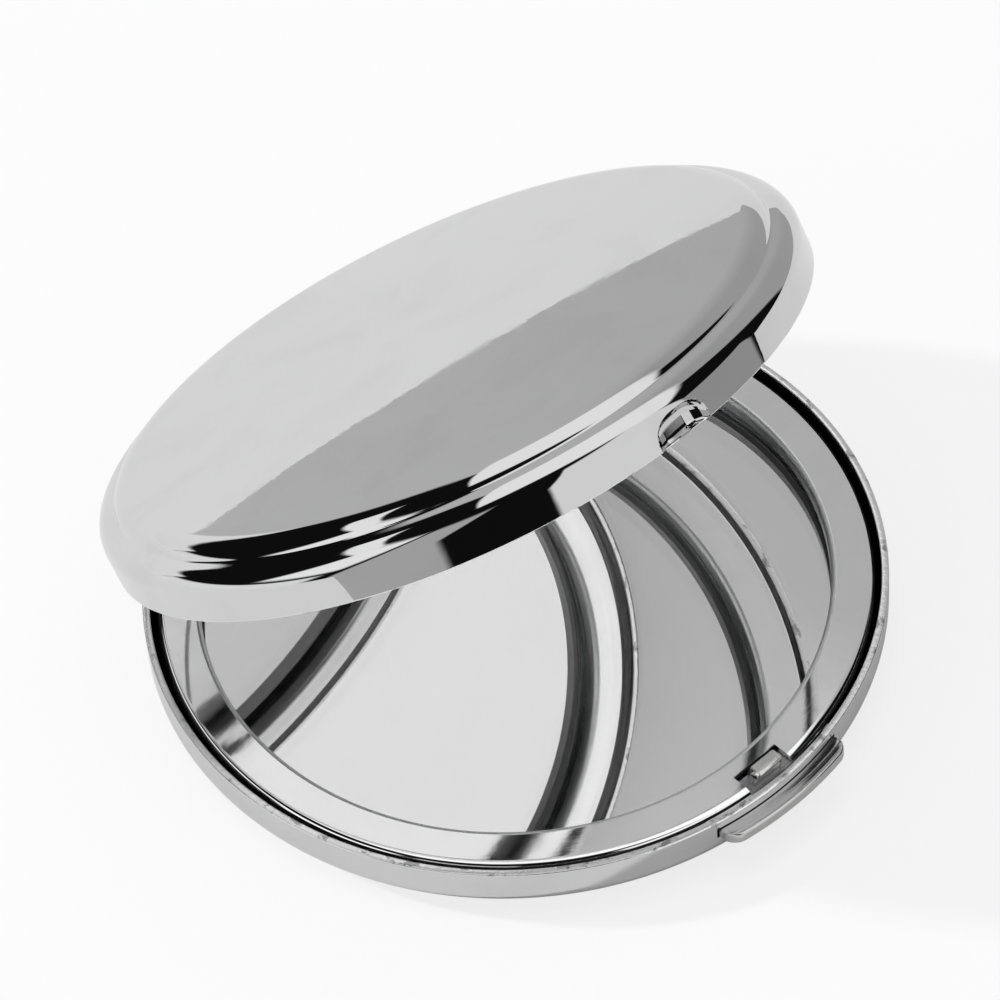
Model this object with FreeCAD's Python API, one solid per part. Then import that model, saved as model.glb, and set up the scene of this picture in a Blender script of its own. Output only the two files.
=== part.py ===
import FreeCAD, Part
import math
import os

# Round chrome compact mirror: two pressed shells on a barrel hinge, a framed mirror in each,
# and a spring-loaded thumb tab whose hook holds the lid shut.
# Millimetres. +Z is up and the front, with the thumb tab, faces -Y. The origin is the centre of the
# flat underside. Depths are measured from the rim of each shell into that shell.

# Shell outline, shared by the lid and the base
case_radius = 33.0
wall_thickness = 0.65
wall_height = 2.7
shoulder_radius = 1.75
shoulder_slope = 12.0
shelf_length = 0.6
crease_radius = 0.25
step_slope = 64.0
step_radius = 1.75
step_end_slope = 22.0
crown_radius = 3.8
lid_dome_slope = 3.5
parting_gap = 0.2

# How far the lid stands open at rest
rest_opening = 32.2

# Frame rings
frame_width = 4.0
frame_thickness = 0.5
frame_depth = 0.4
frame_edge_radius = 0.8
frame_lip_radius = 0.5
frame_lip_depth = 1.4
rim_gap = 0.45

# Mirrors and what presses on them
mirror_thickness = 2.1
mirror_overlap = 0.6
card_thickness = 0.6
pad_inset = 1.5

# Hinge
knuckle_length = 3.8
knuckle_gap = 0.2
pin_radius = 0.6
pin_clearance = 0.03
leaf_thickness = 0.4
leaf_side = 2.0
leaf_slot_clearance = 0.05
barrel_wall_gap = 0.1
rivet_radius = 0.5
rivet_head_radius = 0.9
rivet_head_height = 0.4
rivet_spread = 11.0
rivet_inset = 1.7
rivet_clearance = 0.02

# Thumb tab
tab_width = 14.0
tab_reach = 1.8
tab_plate_thickness = 0.9
tab_plate_clearance = 0.1
tab_lip_rise = 0.5
tab_lip_flat = 0.7
tab_lip_round = 0.3
tab_corner_radius = 1.0
tab_ear = 0.6
tab_plate_tail = 0.5
tab_travel = 0.7
slot_clearance = 0.15

# Hook and catch window
window_width = 5.0
hook_width = 3.2
hook_back_gap = 0.35
neck_thickness = 0.6
nose_reach = 0.4
nose_height = 0.35
nose_tip_height = 0.15
nose_flat = 0.75
tenon_width = 1.8
tenon_inset = 0.1
tenon_clearance = 0.02

# Catch strip in the lid
catch_width = 2.6
catch_thickness = 0.2
catch_lip_height = 0.35
catch_length = 1.8
catch_bite = 0.25
catch_clearance = 0.1

# Latch guide and spring
guide_width = 16.0
guide_thickness = 0.4
guide_leg = 2.0
guide_front_gap = 0.7
guide_mirror_gap = 0.2
post_mirror_gap = 0.1
post_width = 1.2
post_thickness = 0.6
spring_thickness = 0.2
spring_height = 0.7

# Thumb scoop in the lid wall
scoop_centre = 0.6
scoop_half_angle = 4.8
scoop_rim_inset = 0.2
scoop_depth = 1.05
scoop_height = 2.1
scoop_frame_gap = 0.15

# Room left around a passage in a frame's skirt
skirt_cut_margin = 0.6

# Values that follow from the driving dimensions; REACH is longer than any depth in the case
FULL_TURN = 360.0
HALF_ROOT = math.sqrt(0.5)
inner_radius = case_radius - wall_thickness
REACH = case_radius
frame_outer_radius = inner_radius - rim_gap
frame_inner_radius = frame_outer_radius - frame_width
frame_under = frame_depth + frame_thickness
mirror_radius = frame_inner_radius + mirror_overlap
mirror_front = frame_depth + frame_lip_depth
mirror_back = mirror_front + mirror_thickness
card_back = mirror_back + card_thickness
pad_radius = mirror_radius - pad_inset
barrel_radius = parting_gap / 2 + frame_under + leaf_thickness
hinge_length = 3 * knuckle_length + 2 * knuckle_gap
plate_top = frame_under + tab_plate_clearance
plate_bottom = plate_top + tab_plate_thickness
spring_bow = tab_travel
spring_back = mirror_radius + post_mirror_gap + post_thickness
plate_end = spring_back + spring_thickness + spring_bow
neck_back = plate_end + tab_plate_tail
window_inner = neck_back - tab_travel - hook_back_gap
neck_front = neck_back + neck_thickness
nose_front = neck_front + nose_reach
nose_under = parting_gap + catch_clearance
hook_top = nose_under + nose_height
catch_tip = nose_front - catch_bite
rivet_y = frame_outer_radius - rivet_inset
leaf_inner_y = rivet_y - rivet_head_radius
leaf_outer_radius = inner_radius - 2 * leaf_slot_clearance
leaf_width = hinge_length + 2 * leaf_side


def outline(crown_slope):
    """Stations (radius, depth, slope in radians) of the shell's outer surface, rim to centre.

    A run of one station is a line to it. A run of two is an arc, by its middle and its end.
    """
    def along(station, length):
        radius, depth, slope = station
        return (radius - length * math.cos(slope), depth + length * math.sin(slope), slope)

    def bend(station, bend_radius, slope_to, convex):
        radius, depth, slope = station
        sign = 1 if convex else -1
        centre = (radius - sign * bend_radius * math.sin(slope), depth - sign * bend_radius * math.cos(slope))

        def at(angle):
            reach = sign * bend_radius
            return (centre[0] + reach * math.sin(angle), centre[1] + reach * math.cos(angle), angle)
        return [at((slope + slope_to) / 2), at(slope_to)]

    rim = (case_radius, 0.0, math.pi / 2)
    wall_top = along(rim, wall_height)
    shoulder = bend(wall_top, shoulder_radius, math.radians(shoulder_slope), True)
    shelf = along(shoulder[-1], shelf_length)
    crease = bend(shelf, crease_radius, math.radians(step_slope), False)
    step = bend(crease[-1], step_radius, math.radians(step_end_slope), True)
    crown = bend(step[-1], crown_radius, math.radians(crown_slope), True)
    edge = crown[-1]
    if crown_slope > 0:
        middle = bend(edge, edge[0] / math.sin(edge[2]), 0.0, True)
    else:
        middle = [(0.0, edge[1], 0.0)]
    return rim, [[wall_top], shoulder, [shelf], crease, step, crown, middle]


base_rim = outline(0.0)[1][-1][-1][1]
lid_rim = base_rim + parting_gap
hinge_z = base_rim + parting_gap / 2
hinge_y = case_radius + barrel_wall_gap + barrel_radius

# A half is the height of its rim and the way its depths run
BASE = (base_rim, -1)
LID = (lid_rim, 1)


def height(half, depth):
    return half[0] + half[1] * depth


def point(half, radius, depth):
    return FreeCAD.Vector(radius, 0, height(half, depth))


def line(a, b):
    return Part.LineSegment(a, b).toShape()


def arc(a, b, c):
    return Part.Arc(a, b, c).toShape()


def polygon(points):
    return Part.Face(Part.makePolygon(points + [points[0]]))


def turned(face, angle=FULL_TURN):
    return face.revolve(FreeCAD.Vector(0, 0, 0), FreeCAD.Vector(0, 0, 1), angle)


def front_sector(face, centre, half_angle):
    """A face in the plane of +X and Z, turned about Z over an angle either side of a bearing from -Y."""
    solid = turned(face, 2 * half_angle)
    solid.rotate(FreeCAD.Vector(0, 0, 0), FreeCAD.Vector(0, 0, 1), centre - half_angle - 90)
    return solid


def block(half, width, y_from, y_to, depth_from, depth_to, x_centre=0.0):
    """A box, centred on x_centre, between two y values and two depths."""
    heights = sorted((height(half, depth_from), height(half, depth_to)))
    corner = FreeCAD.Vector(x_centre - width / 2, min(y_from, y_to), heights[0])
    return Part.makeBox(width, abs(y_to - y_from), heights[1] - heights[0], corner)


def disc(half, radius, depth_from, depth_to):
    heights = sorted((height(half, depth_from), height(half, depth_to)))
    return Part.makeCylinder(radius, heights[1] - heights[0], FreeCAD.Vector(0, 0, heights[0]))


def upright(half, x, y, radius, depth_from, depth_to):
    heights = sorted((height(half, depth_from), height(half, depth_to)))
    return Part.makeCylinder(radius, heights[1] - heights[0], FreeCAD.Vector(x, y, heights[0]))


def crossbar(radius, x_from, x_to):
    """A cylinder along X on the hinge axis."""
    start = FreeCAD.Vector(x_from, hinge_y, hinge_z)
    return Part.makeCylinder(radius, x_to - x_from, start, FreeCAD.Vector(1, 0, 0))


def outline_edges(half, crown_slope, inset):
    """The shell's surface, set in from the outside by a thickness, as edges from the rim to the axis."""
    def inside(station):
        radius, depth, slope = station
        return point(half, radius - inset * math.sin(slope), depth - inset * math.cos(slope))

    rim, runs = outline(crown_slope)
    edges = []
    last = inside(rim)
    for run in runs:
        stops = [inside(station) for station in run]
        edges.append(line(last, stops[0]) if len(stops) == 1 else arc(last, stops[0], stops[1]))
        last = stops[-1]
    return edges, inside(rim), last


def pressed_shell(half, crown_slope):
    outer, outer_rim, outer_top = outline_edges(half, crown_slope, 0.0)
    inner, inner_rim, inner_top = outline_edges(half, crown_slope, wall_thickness)
    loop = outer + inner + [line(outer_rim, inner_rim), line(outer_top, inner_top)]
    return turned(Part.Face(Part.Wire(Part.__sortEdges__(loop))))


def cavity(half, crown_slope):
    """The space inside a shell."""
    inner, inner_rim, inner_top = outline_edges(half, crown_slope, wall_thickness)
    rim_centre = point(half, 0, 0)
    loop = inner + [line(inner_rim, rim_centre), line(rim_centre, inner_top)]
    return turned(Part.Face(Part.Wire(Part.__sortEdges__(loop))))


def frame_ring(half, space):
    """Flat ring with a lip rolled down to the glass and a skirt that stands on the shell's shoulder."""
    edge = frame_edge_radius
    inside_edge = edge - frame_thickness
    top = frame_depth
    under = frame_under
    centre_r = frame_outer_radius - edge
    centre_d = top + edge
    skirt = wall_height + shoulder_radius
    lip = frame_lip_radius
    lip_back = frame_inner_radius + frame_thickness

    def p(radius, depth):
        return point(half, radius, depth)

    inner_skirt = frame_outer_radius - frame_thickness
    loop = [
        line(p(frame_inner_radius, mirror_front), p(frame_inner_radius, top + lip)),
        arc(p(frame_inner_radius, top + lip),
            p(frame_inner_radius + lip * (1 - HALF_ROOT), top + lip * (1 - HALF_ROOT)),
            p(frame_inner_radius + lip, top)),
        line(p(frame_inner_radius + lip, top), p(centre_r, top)),
        arc(p(centre_r, top), p(centre_r + edge * HALF_ROOT, centre_d - edge * HALF_ROOT),
            p(frame_outer_radius, centre_d)),
        line(p(frame_outer_radius, centre_d), p(frame_outer_radius, skirt)),
        line(p(frame_outer_radius, skirt), p(inner_skirt, skirt)),
        line(p(inner_skirt, skirt), p(inner_skirt, centre_d)),
        arc(p(inner_skirt, centre_d),
            p(centre_r + inside_edge * HALF_ROOT, centre_d - inside_edge * HALF_ROOT),
            p(centre_r, under)),
        line(p(centre_r, under), p(lip_back, under)),
        line(p(lip_back, under), p(lip_back, mirror_front)),
        line(p(lip_back, mirror_front), p(frame_inner_radius, mirror_front)),
    ]
    ring = turned(Part.Face(Part.Wire(loop))).common(space)
    back_cut = block(half, leaf_width + skirt_cut_margin, mirror_radius, case_radius, under, REACH)
    window = block(half, window_width, -window_inner, -case_radius, 0, REACH)
    ring = ring.cut(back_cut).cut(window)
    for x in (-rivet_spread / 2, rivet_spread / 2):
        ring = ring.cut(upright(half, x, rivet_y, rivet_radius + rivet_clearance, 0, under))
    return ring


def hinge_spans(half):
    """The stretches of the hinge axis that belong to one half's knuckles."""
    middle = knuckle_length / 2
    if half is LID:
        return [(-middle, middle)]
    return [(-hinge_length / 2, -middle - knuckle_gap), (middle + knuckle_gap, hinge_length / 2)]


def hinge_leaf(half):
    """Plate under the frame ring, with necks through the wall to its knuckles."""
    top = frame_under
    bottom = frame_under + leaf_thickness
    plate = disc(half, leaf_outer_radius, top, bottom)
    plate = plate.common(block(half, leaf_width, leaf_inner_y, case_radius, top, bottom))
    for x_from, x_to in hinge_spans(half):
        neck = block(half, x_to - x_from, leaf_inner_y, hinge_y, top, bottom, (x_from + x_to) / 2)
        plate = plate.fuse(neck).fuse(crossbar(barrel_radius, x_from, x_to))
    plate = plate.cut(crossbar(pin_radius + pin_clearance, -hinge_length, hinge_length))
    for x in (-rivet_spread / 2, rivet_spread / 2):
        plate = plate.cut(upright(half, x, rivet_y, rivet_radius + rivet_clearance, top, bottom))
    return plate.removeSplitter()


def hinge_slots(half):
    """The cuts in a shell's wall that the leaf's necks pass through."""
    cuts = []
    for x_from, x_to in hinge_spans(half):
        width = x_to - x_from + 2 * leaf_slot_clearance
        top = frame_under - leaf_slot_clearance
        bottom = frame_under + leaf_thickness + leaf_slot_clearance
        cuts.append(block(half, width, leaf_inner_y, hinge_y, top, bottom, (x_from + x_to) / 2))
    return cuts


def hinge_rivets(half):
    leaf_back = frame_under + leaf_thickness
    rivets = []
    for x in (-rivet_spread / 2, rivet_spread / 2):
        shank = upright(half, x, rivet_y, rivet_radius, frame_depth, leaf_back)
        head = upright(half, x, rivet_y, rivet_head_radius, leaf_back, leaf_back + rivet_head_height)
        rivets.append(shank.fuse(head).removeSplitter())
    return Part.makeCompound(rivets)


def mirror(half):
    return disc(half, mirror_radius, mirror_front, mirror_back)


def backing_card(half):
    return disc(half, mirror_radius, mirror_back, card_back)


def foam_pad(half, space):
    return disc(half, pad_radius, card_back, card_back + REACH).common(space)


def tab_plan(bottom, top):
    """The tab seen from above: straight sides and an outer edge that follows the case, with round corners."""
    outer = case_radius + tab_reach
    corner = tab_corner_radius
    side = tab_width / 2
    corner_x = side - corner
    corner_y = -math.sqrt((outer - corner) ** 2 - corner_x ** 2)
    scale = outer / (outer - corner)

    def p(x, y):
        return FreeCAD.Vector(x, y, bottom)

    def rounded(sign):
        on_side = p(sign * side, corner_y)
        between = p(sign * (corner_x + corner * HALF_ROOT), corner_y - corner * HALF_ROOT)
        on_edge = p(sign * corner_x * scale, corner_y * scale)
        return on_side, between, on_edge

    left = rounded(-1)
    right = rounded(1)
    loop = [
        arc(*left),
        arc(left[2], p(0, -outer), right[2]),
        arc(right[2], right[1], right[0]),
        line(right[0], p(side, -plate_end)),
        line(p(side, -plate_end), p(-side, -plate_end)),
        line(p(-side, -plate_end), left[0]),
    ]
    return Part.Face(Part.Wire(loop)).extrude(FreeCAD.Vector(0, 0, top - bottom))


def tab_section():
    """The tab cut along the case's radius: a flat plate whose outer edge sweeps up to a lip."""
    outer = case_radius + tab_reach
    lip_top = plate_top - tab_lip_rise
    lip_start = outer - tab_lip_flat
    rise_start = case_radius + tab_travel
    bevel = tab_lip_round

    def p(radius, depth):
        return point(BASE, radius, depth)

    loop = [
        line(p(window_inner, plate_top), p(rise_start, plate_top)),
        line(p(rise_start, plate_top), p(lip_start, lip_top)),
        line(p(lip_start, lip_top), p(outer - bevel, lip_top)),
        arc(p(outer - bevel, lip_top),
            p(outer - bevel + bevel * HALF_ROOT, lip_top + bevel - bevel * HALF_ROOT),
            p(outer, lip_top + bevel)),
        line(p(outer, lip_top + bevel), p(outer, plate_bottom - bevel)),
        arc(p(outer, plate_bottom - bevel),
            p(outer - bevel + bevel * HALF_ROOT, plate_bottom - bevel + bevel * HALF_ROOT),
            p(outer - bevel, plate_bottom)),
        line(p(outer - bevel, plate_bottom), p(window_inner, plate_bottom)),
        line(p(window_inner, plate_bottom), p(window_inner, plate_top)),
    ]
    return Part.Face(Part.Wire(loop))


def push_tab():
    """Sliding plate with a lip outside the case and an ear each side that stops it inside the wall."""
    sweep = math.degrees(math.asin(tab_width / case_radius))
    plan = tab_plan(height(BASE, plate_bottom), height(BASE, plate_top - tab_lip_rise))
    tab = front_sector(tab_section(), 0.0, sweep).common(plan)
    ears = disc(BASE, inner_radius - tab_plate_clearance, plate_top, plate_bottom)
    ear_width = tab_width + 2 * tab_ear
    ears = ears.common(block(BASE, ear_width, -plate_end, -case_radius, plate_top, plate_bottom))
    hole = block(BASE, tenon_width + 2 * tenon_clearance, -neck_back - tenon_inset + tenon_clearance,
                 -neck_front + tenon_inset - tenon_clearance, plate_top, plate_bottom)
    return tab.fuse(ears).cut(hole).removeSplitter()


def catch_hook():
    """Post with a nose that points out, ramped on top so that the closing lid pushes it back."""
    def p(y, depth):
        return FreeCAD.Vector(-hook_width / 2, -y, height(BASE, depth))

    side = polygon([
        p(neck_back, plate_top),
        p(neck_back, -hook_top),
        p(neck_back + nose_flat, -hook_top),
        p(nose_front, -nose_under - nose_tip_height),
        p(nose_front, -nose_under),
        p(neck_front, -nose_under),
        p(neck_front, plate_top),
    ])
    post = side.extrude(FreeCAD.Vector(hook_width, 0, 0))
    tenon = block(BASE, tenon_width, -neck_back - tenon_inset, -neck_front + tenon_inset,
                  plate_top, plate_bottom)
    return post.fuse(tenon).removeSplitter()


def tab_slot():
    """The cut in the base wall that the tab's plate passes through."""
    return block(BASE, tab_width + 2 * slot_clearance, -window_inner, -case_radius - tab_reach,
                 plate_top - slot_clearance, plate_bottom + slot_clearance)


def latch_guide(space):
    """Channel that carries the tab's plate, with a post near each end for the spring."""
    top = plate_bottom + tab_plate_clearance
    back = mirror_radius + guide_mirror_gap
    front = frame_outer_radius - guide_front_gap
    ring = disc(BASE, front, top, REACH).cut(disc(BASE, back, top, REACH))
    bridge = ring.common(block(BASE, guide_width, 0, -case_radius, top, REACH))
    hollow = block(BASE, guide_width - 2 * guide_leg, 0, -case_radius, top + guide_thickness, REACH)
    guide = bridge.cut(hollow).common(space)
    post_x = guide_width / 2 - post_width
    for x in (-post_x, post_x):
        post = block(BASE, post_width, -spring_back + post_thickness, -spring_back, plate_top, top, x)
        guide = guide.fuse(post)
    return guide.removeSplitter()


def latch_spring():
    """Leaf spring, bowed from the posts towards the tab's plate."""
    half_span = guide_width / 2 - post_width
    top = plate_top + (tab_plate_thickness - spring_height) / 2

    def bow(y_end):
        z = height(BASE, top + spring_height)
        ends = [FreeCAD.Vector(sign * half_span, -y_end, z) for sign in (-1, 1)]
        return ends[0], FreeCAD.Vector(0, -y_end - spring_bow, z), ends[1]

    back = bow(spring_back)
    front = bow(spring_back + spring_thickness)
    loop = [arc(*back), line(back[2], front[2]), arc(*reversed(front)), line(front[0], back[0])]
    return Part.Face(Part.Wire(loop)).extrude(FreeCAD.Vector(0, 0, spring_height))


# The scoop's floor leans in from the rim, and its ceiling stands square to the floor
scoop_lean = math.atan((scoop_depth - scoop_rim_inset) / scoop_height)
scoop_rim = case_radius - scoop_rim_inset
scoop_corner = (case_radius - scoop_depth, scoop_height)
floor_inner_rim = scoop_rim - wall_thickness / math.cos(scoop_lean)


def scoop_cut():
    run = REACH / 2
    ceiling = (scoop_corner[0] + run * math.cos(scoop_lean), scoop_corner[1] + run * math.sin(scoop_lean))
    below = (scoop_rim + run * math.tan(scoop_lean), -run)
    corners = [below, scoop_corner, ceiling, (ceiling[0], -run)]
    return front_sector(polygon([point(LID, *corner) for corner in corners]), scoop_centre, scoop_half_angle)


def scoop_backing():
    """The pressed-in metal behind the scoop, as thick as the wall."""
    sine = math.sin(scoop_lean)
    cosine = math.cos(scoop_lean)
    deep = (scoop_corner[0] - wall_thickness * (cosine + sine),
            scoop_corner[1] + wall_thickness * (cosine - sine))
    middle = case_radius - wall_thickness / 2
    run = (middle - deep[0]) / cosine
    corners = [(middle, 0), (floor_inner_rim, 0), deep, (middle, deep[1] + run * sine)]
    side = math.degrees(wall_thickness / case_radius)
    return front_sector(polygon([point(LID, *corner) for corner in corners]), scoop_centre,
                        scoop_half_angle + side)


def lid_catch():
    """Strip on the back of the scoop's floor, with a lip turned in at the rim."""
    lean = math.tan(scoop_lean)
    thickness = catch_thickness / math.cos(scoop_lean)
    corners = [
        (floor_inner_rim, -catch_lip_height),
        (floor_inner_rim, 0),
        (floor_inner_rim - lean * catch_length, catch_length),
        (floor_inner_rim - lean * catch_length - thickness, catch_length),
        (floor_inner_rim - thickness, 0),
        (catch_tip, 0),
        (catch_tip, -catch_lip_height),
    ]
    half_angle = math.degrees(math.asin(catch_width / 2 / inner_radius))
    return front_sector(polygon([point(LID, *corner) for corner in corners]), 0.0, half_angle)


def base_frame(space):
    ring = frame_ring(BASE, space)
    front_width = tab_width + 2 * tab_ear + skirt_cut_margin
    return ring.cut(block(BASE, front_width, -mirror_radius, -case_radius, frame_under, REACH))


def lid_frame(space):
    """The ring is cut back behind the scoop."""
    deepest = scoop_corner[0] - wall_thickness * (math.cos(scoop_lean) + math.sin(scoop_lean))
    edge = deepest - scoop_frame_gap
    corners = [(edge, 0), (case_radius, 0), (case_radius, REACH), (edge, REACH)]
    margin = math.degrees((wall_thickness + skirt_cut_margin) / case_radius)
    relief = front_sector(polygon([point(LID, *corner) for corner in corners]), scoop_centre,
                          scoop_half_angle + margin)
    return frame_ring(LID, space).cut(relief)


def build():
    base_space = cavity(BASE, 0.0)
    lid_space = cavity(LID, lid_dome_slope)
    base_shell = pressed_shell(BASE, 0.0).cut(tab_slot())
    lid_shell = pressed_shell(LID, lid_dome_slope).fuse(scoop_backing()).cut(scoop_cut())
    for cut in hinge_slots(BASE):
        base_shell = base_shell.cut(cut)
    for cut in hinge_slots(LID):
        lid_shell = lid_shell.cut(cut)
    fixed = {
        "base_shell": base_shell,
        "base_frame": base_frame(base_space),
        "base_mirror": mirror(BASE),
        "base_backing_card": backing_card(BASE),
        "base_foam_pad": foam_pad(BASE, base_space),
        "base_hinge_leaf": hinge_leaf(BASE),
        "base_hinge_rivets": hinge_rivets(BASE),
        "hinge_pin": crossbar(pin_radius, -hinge_length / 2, hinge_length / 2),
        "latch_guide": latch_guide(base_space),
        "latch_spring": latch_spring(),
        "push_tab": push_tab(),
        "catch_hook": catch_hook(),
    }
    lid = {
        "lid_shell": lid_shell.removeSplitter(),
        "lid_frame": lid_frame(lid_space),
        "lid_mirror": mirror(LID),
        "lid_backing_card": backing_card(LID),
        "lid_foam_pad": foam_pad(LID, lid_space),
        "lid_hinge_leaf": hinge_leaf(LID),
        "lid_hinge_rivets": hinge_rivets(LID),
        "lid_catch": lid_catch(),
    }
    for shape in lid.values():
        shape.rotate(FreeCAD.Vector(0, hinge_y, hinge_z), FreeCAD.Vector(-1, 0, 0), rest_opening)
    return {**fixed, **lid}


os.makedirs("parts", exist_ok=True)
for name, shape in build().items():
    shape.exportStep(f"parts/{name}.step")
    print(f"{name}: {len(shape.Solids)} solid, {shape.Volume:.2f} mm3, valid {shape.isValid()}")
print(f"rim {base_rim:.6f}, hinge y {hinge_y:.6f} z {hinge_z:.6f}")
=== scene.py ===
import math

import bmesh
import bpy
import numpy as np
from mathutils import Matrix, Vector


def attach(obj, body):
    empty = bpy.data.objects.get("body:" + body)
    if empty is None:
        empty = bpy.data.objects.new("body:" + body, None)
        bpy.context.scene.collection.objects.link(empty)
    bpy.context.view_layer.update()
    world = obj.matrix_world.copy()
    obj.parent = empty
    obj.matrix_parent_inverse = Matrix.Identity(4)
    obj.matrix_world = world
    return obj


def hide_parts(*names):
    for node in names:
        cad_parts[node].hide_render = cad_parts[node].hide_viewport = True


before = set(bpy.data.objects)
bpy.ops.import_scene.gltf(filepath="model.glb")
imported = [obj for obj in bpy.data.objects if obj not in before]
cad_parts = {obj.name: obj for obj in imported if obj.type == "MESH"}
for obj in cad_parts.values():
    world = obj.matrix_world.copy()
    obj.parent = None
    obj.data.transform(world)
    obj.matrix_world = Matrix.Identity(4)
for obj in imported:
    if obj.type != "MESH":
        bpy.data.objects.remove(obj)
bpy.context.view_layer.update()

MM = 0.001

# The two shells, in millimetres. Depths run from each rim into its shell.
CASE_RADIUS = 33.0
WALL = 0.65
INNER_RADIUS = CASE_RADIUS - WALL
INNER_CLEARANCE = 0.1
WALL_HEIGHT = 2.7
SHOULDER_RADIUS = 1.75
SHOULDER_SLOPE = math.radians(12.0)
SHELF_LENGTH = 0.6
CREASE_RADIUS = 0.25
STEP_SLOPE = math.radians(64.0)
STEP_RADIUS = 1.75
STEP_END_SLOPE = math.radians(22.0)
CROWN_RADIUS = 3.8
LID_DOME_SLOPE = math.radians(3.5)
RIM_ROUND = 0.09
RIM_ROUND_START = 0.25

# Where the halves are: height of the rim, the way its depths run, and its body
BASE = (5.803573, -1, "base")
LID = (6.003573, 1, "lid")
HINGE_Y = 34.5
HINGE_Z = 5.903573
OPENING = math.radians(32.2)

# Frame rings, mirrors and what is behind them
FRAME_INNER = 27.9
BASE_FRAME_OUTER = 31.9
LID_FRAME_OUTER = 32.15
FRAME_TOP = 0.4
FRAME_UNDER = 0.9
BASE_FRAME_EDGE = 0.8
LID_FRAME_EDGE = 0.4
FRAME_LIP = 0.5
FRAME_SKIN = 0.5
FRAME_FILLET = 0.3
FLAT_MARGIN = 0.03
SKIRT_OUTSIDE = 3.55
SKIRT_INSIDE = 3.75
MIRROR_RADIUS = 28.5
MIRROR_FRONT = 1.8
MIRROR_BACK = 3.88
MIRROR_EDGE = 0.1
CARD_BACK = 4.5
PAD_RADIUS = 27.0
PAD_TO_CARD = 0.02
PAD_TO_SHELL = 0.03
PAD_RIPPLE = 0.02
PAD_RIPPLES_PER_MM = 2.4

# Depths that the blocks for cutting a ring reach from and to
CUT_FROM = -1
CUT_TO = 5

# Catch window, tab slot, thumb tab and the tab's plate
WINDOW_WIDTH = 5.0
WINDOW_INNER = 29.55
SLOT_HALF = 7.15
SLOT_TOP = 0.85
SLOT_BOTTOM = 2.05
SLOT_CLEARANCE = 0.05
TAB_HALF = 7.0
TAB_STRAIGHT = 5.5
TAB_BEND = 5.6
TAB_ROOT = 31.8
TAB_NECK = 33.1
TAB_HEEL = 33.5
TAB_OUTER = 34.8
TAB_CORNER = 1.2
TAB_CORNER_START = 32.9
TAB_SWEEP_START = 33.15
TAB_SWEEP_RUN = 1.2
TAB_SWEEP = 0.32
TAB_SWEEP_POWER = 1.7
TAB_LIP_START = 33.87
TAB_LIP_RUN = 0.15
TAB_LIP_DROP = 0.14
TAB_UPPER_ROUND = 0.2
TAB_LOWER_ROUND = 0.35
TAB_END_ROUND = 0.2
TAB_END_SQUEEZE = 0.22
PLATE_TOP = 1.0
PLATE_BOTTOM = 1.9
PLATE_END = 30.1
PLATE_ROOM_HALF = 7.9
EAR_HALF = 7.6

# Hook, by distances from the axis and by depths, which are negative above the rim
HOOK_INNER = 30.38
HOOK_POST = 31.2
HOOK_FLAT_END = 31.48
HOOK_NOSE = 31.6
HOOK_FOOT = 1.0
HOOK_TOP = -0.65
NOSE_TOP = -0.45
NOSE_TOP_LOWEST = -0.38
NOSE_UNDER = -0.3
HOOK_EDGE = 0.07
HOOK_SECTIONS = ((-1.6, 0.42), (-1.2, 0.0), (1.35, 0.0), (1.6, 0.24))  # place along the rim, drop of the top

# Thumb scoop in the lid wall
SCOOP_CENTRE = math.radians(0.6)
SCOOP_HALF = 2.76
SCOOP_HEIGHT = 2.66
SCOOP_ROUNDNESS = 2.6
SCOOP_DEPTH = 1.05
SCOOP_INNER_RIM = 0.2
SCOOP_INNER_LEAN = 0.405
SCOOP_RELIEF = 30.95
SCOOP_RELIEF_SPREAD = math.radians(7.0)

# Hinge
KNUCKLE = 3.8
KNUCKLE_GAP = 0.2
KNUCKLE_OVERLAP = 1
BARREL_RADIUS = 1.4
BARREL_EDGE = 0.12
LEAF_THICKNESS = 0.4
LEAF_INNER_Y = 29.3
LEAF_WIDTH = 15.8
LEAF_ROOM = 0.3
RIVET_X = 5.5
RIVET_Y = 30.2
RIVET_HOLE = 0.52

# Floor, in metres, and the share of plain white in what the camera sees of it
FLOOR_LEFT, FLOOR_RIGHT, FLOOR_FRONT, FLOOR_BACK = -0.15, 0.32, -0.16, 0.275
FLOOR_WHITE_SHARE = 0.78

# Room around the case, by bearings from the front towards the right and rises above the floor, in degrees
DARK_ROOM = 0.006
PANELS = (  # bearing from and to, rise from and to, blur of the sides, blur of top and bottom, brightness
    (160, 200, -40, 3.0, 1.0, 1.0, 0.95),
    (200, 275, -40, -1, 3.0, 1.5, 0.95),
    (-117, -82, 6, 47, 3.0, 4.0, 1.12),
    (-76, -46, -40, 47, 1.5, 5.0, 0.50),
    (-14, 32, -40, 57, 1.0, 3.5, 0.90),
    (32, 60, -40, 11, 1.0, 1.5, 0.38),
)
OVERHEAD_EDGES = ((62, 20.5, 0.6), (135, 14, 2.5), (-83, 31, 2.0))  # bearing and rise of each edge's normal, blur
STRIP_BRIGHTNESS = 1.1
OVERHEAD_BRIGHTNESS = 1.07
WHITE_BELOW = (-20.0, -24.0)  # rises where the white that metal and glass see begins, and where it is full


# Shapes

def height(half, depth):
    """Height above the floor of a depth in one half, with the case shut."""
    return half[0] + half[1] * depth


def bend(station, radius, slope_to, steps, convex):
    """An arc of a shell's outline, from a station (radius, depth, slope) on."""
    r, depth, slope = station
    sign = 1 if convex else -1
    middle_r = r - sign * radius * math.sin(slope)
    middle_d = depth - sign * radius * math.cos(slope)
    return [(middle_r + sign * radius * math.sin(a), middle_d + sign * radius * math.cos(a), a)
            for a in np.linspace(slope, slope_to, steps + 1)[1:]]


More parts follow.
